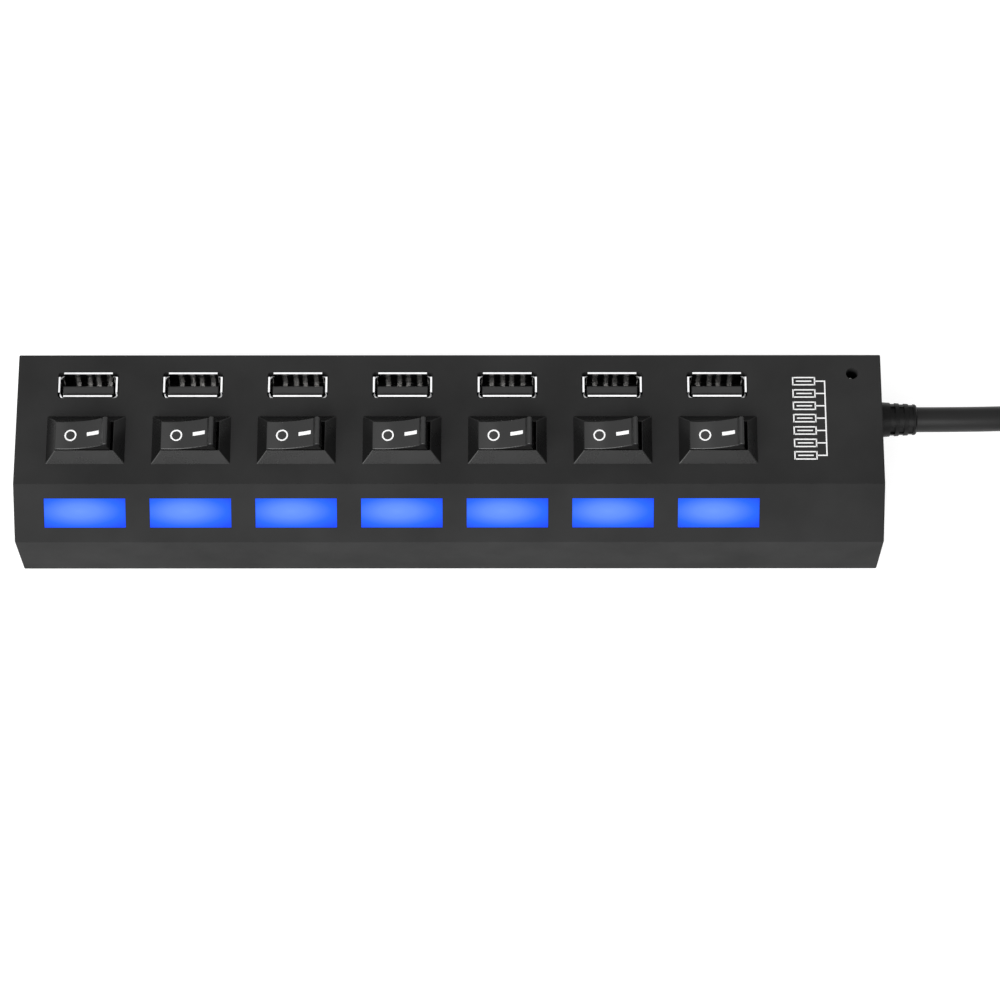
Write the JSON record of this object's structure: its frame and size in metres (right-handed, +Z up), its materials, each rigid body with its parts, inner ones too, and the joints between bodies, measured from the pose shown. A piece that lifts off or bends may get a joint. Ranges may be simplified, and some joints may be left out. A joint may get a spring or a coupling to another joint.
{
  "type": "usb hub",
  "caption": "Long desktop USB hub with a row of upright sockets, a rocker switch and a lit window for each, and a cable that ends in a plug.",
  "frame": {"origin": "on the table, under the middle of the hub without its cable", "axes": "+X along the hub to the cable end, +Y to the back where the sockets are, +Z up"},
  "size_m": [0.2915, 0.0687, 0.0301],
  "materials": {
    "housing": "fine matt texture",
    "bezel": "satin",
    "rocker": "satin, with white off and on marks",
    "socket_steel": "bright nickel plate",
    "socket_plastic": "moulded",
    "contact_metal": "plated",
    "board": "solder mask",
    "window_light": "lit clear moulding",
    "led": "clear resin",
    "chip": "moulded",
    "component_metal": "drawn can",
    "screw_steel": "zinc plate",
    "rubber": "matt",
    "cable_jacket": "satin",
    "tie": "matt"
  },
  "bodies": {
    "hub": {"top_shell": "housing", "base_plate": "housing", "switch_frame_1": "bezel", "switch_frame_2": "bezel", "switch_frame_3": "bezel", "switch_frame_4": "bezel", "switch_frame_5": "bezel", "switch_frame_6": "bezel", "switch_frame_7": "bezel", "usb_shell_1": "socket_steel", "usb_shell_2": "socket_steel", "usb_shell_3": "socket_steel", "usb_shell_4": "socket_steel", "usb_shell_5": "socket_steel", "usb_shell_6": "socket_steel", "usb_shell_7": "socket_steel", "plug_shell": "socket_steel", "usb_insulator_1": "socket_plastic", "usb_insulator_2": "socket_plastic", "usb_insulator_3": "socket_plastic", "usb_insulator_4": "socket_plastic", "usb_insulator_5": "socket_plastic", "usb_insulator_6": "socket_plastic", "usb_insulator_7": "socket_plastic", "plug_insert": "socket_plastic", "dc_jack_body": "socket_plastic", "usb_contacts": "contact_metal", "switch_terminals": "contact_metal", "dc_jack_pin": "contact_metal", "plug_contacts": "contact_metal", "circuit_board": "board", "light_window_strip": "window_light", "leds": "led", "hub_chips": "chip", "capacitors": "component_metal", "crystal": "component_metal", "screws": "screw_steel", "feet": "rubber", "cable_wires": "cable_jacket", "cable_lead": "cable_jacket", "cable_coil": "cable_jacket", "cable_tail": "cable_jacket", "strain_relief": "cable_jacket", "plug_overmold": "cable_jacket", "cable_tie": "tie"},
    "rocker_1": {"rocker_1": "rocker"},
    "contact_lever_1": {"contact_lever_1": "contact_metal"},
    "rocker_2": {"rocker_2": "rocker"},
    "contact_lever_2": {"contact_lever_2": "contact_metal"},
    "rocker_3": {"rocker_3": "rocker"},
    "contact_lever_3": {"contact_lever_3": "contact_metal"},
    "rocker_4": {"rocker_4": "rocker"},
    "contact_lever_4": {"contact_lever_4": "contact_metal"},
    "rocker_5": {"rocker_5": "rocker"},
    "contact_lever_5": {"contact_lever_5": "contact_metal"},
    "rocker_6": {"rocker_6": "rocker"},
    "contact_lever_6": {"contact_lever_6": "contact_metal"},
    "rocker_7": {"rocker_7": "rocker"},
    "contact_lever_7": {"contact_lever_7": "contact_metal"}
  },
  "joints": [
    {"name": "rocker_1_tilt", "type": "hinge", "parent": "hub", "child": "rocker_1", "pos_m": [-0.0795, 0.00092, 0.0252], "axis": [0, 1, 0], "range_deg": [0, 26]},
    {"name": "contact_lever_1_rock", "type": "hinge", "parent": "hub", "child": "contact_lever_1", "pos_m": [-0.0795, 0.00092, 0.01845], "axis": [0, 1, 0], "range_deg": [-13, 0]},
    {"name": "rocker_2_tilt", "type": "hinge", "parent": "hub", "child": "rocker_2", "pos_m": [-0.05645, 0.00092, 0.0252], "axis": [0, 1, 0], "range_deg": [0, 26]},
    {"name": "contact_lever_2_rock", "type": "hinge", "parent": "hub", "child": "contact_lever_2", "pos_m": [-0.05645, 0.00092, 0.01845], "axis": [0, 1, 0], "range_deg": [-13, 0]},
    {"name": "rocker_3_tilt", "type": "hinge", "parent": "hub", "child": "rocker_3", "pos_m": [-0.0334, 0.00092, 0.0252], "axis": [0, 1, 0], "range_deg": [0, 26]},
    {"name": "contact_lever_3_rock", "type": "hinge", "parent": "hub", "child": "contact_lever_3", "pos_m": [-0.0334, 0.00092, 0.01845], "axis": [0, 1, 0], "range_deg": [-13, 0]},
    {"name": "rocker_4_tilt", "type": "hinge", "parent": "hub", "child": "rocker_4", "pos_m": [-0.01035, 0.00092, 0.0252], "axis": [0, 1, 0], "range_deg": [0, 26]},
    {"name": "contact_lever_4_rock", "type": "hinge", "parent": "hub", "child": "contact_lever_4", "pos_m": [-0.01035, 0.00092, 0.01845], "axis": [0, 1, 0], "range_deg": [-13, 0]},
    {"name": "rocker_5_tilt", "type": "hinge", "parent": "hub", "child": "rocker_5", "pos_m": [0.0127, 0.00092, 0.0252], "axis": [0, 1, 0], "range_deg": [0, 26]},
    {"name": "contact_lever_5_rock", "type": "hinge", "parent": "hub", "child": "contact_lever_5", "pos_m": [0.0127, 0.00092, 0.01845], "axis": [0, 1, 0], "range_deg": [-13, 0]},
    {"name": "rocker_6_tilt", "type": "hinge", "parent": "hub", "child": "rocker_6", "pos_m": [0.03575, 0.00092, 0.0252], "axis": [0, 1, 0], "range_deg": [0, 26]},
    {"name": "contact_lever_6_rock", "type": "hinge", "parent": "hub", "child": "contact_lever_6", "pos_m": [0.03575, 0.00092, 0.01845], "axis": [0, 1, 0], "range_deg": [-13, 0]},
    {"name": "rocker_7_tilt", "type": "hinge", "parent": "hub", "child": "rocker_7", "pos_m": [0.0588, 0.00092, 0.0252], "axis": [0, 1, 0], "range_deg": [0, 26]},
    {"name": "contact_lever_7_rock", "type": "hinge", "parent": "hub", "child": "contact_lever_7", "pos_m": [0.0588, 0.00092, 0.01845], "axis": [0, 1, 0], "range_deg": [-13, 0]}
  ],
  "couplings": [
    {"joint": "contact_lever_1_rock", "follows": "rocker_1_tilt", "ratio": -0.5},
    {"joint": "contact_lever_2_rock", "follows": "rocker_2_tilt", "ratio": -0.5},
    {"joint": "contact_lever_3_rock", "follows": "rocker_3_tilt", "ratio": -0.5},
    {"joint": "contact_lever_4_rock", "follows": "rocker_4_tilt", "ratio": -0.5},
    {"joint": "contact_lever_5_rock", "follows": "rocker_5_tilt", "ratio": -0.5},
    {"joint": "contact_lever_6_rock", "follows": "rocker_6_tilt", "ratio": -0.5},
    {"joint": "contact_lever_7_rock", "follows": "rocker_7_tilt", "ratio": -0.5}
  ]
}
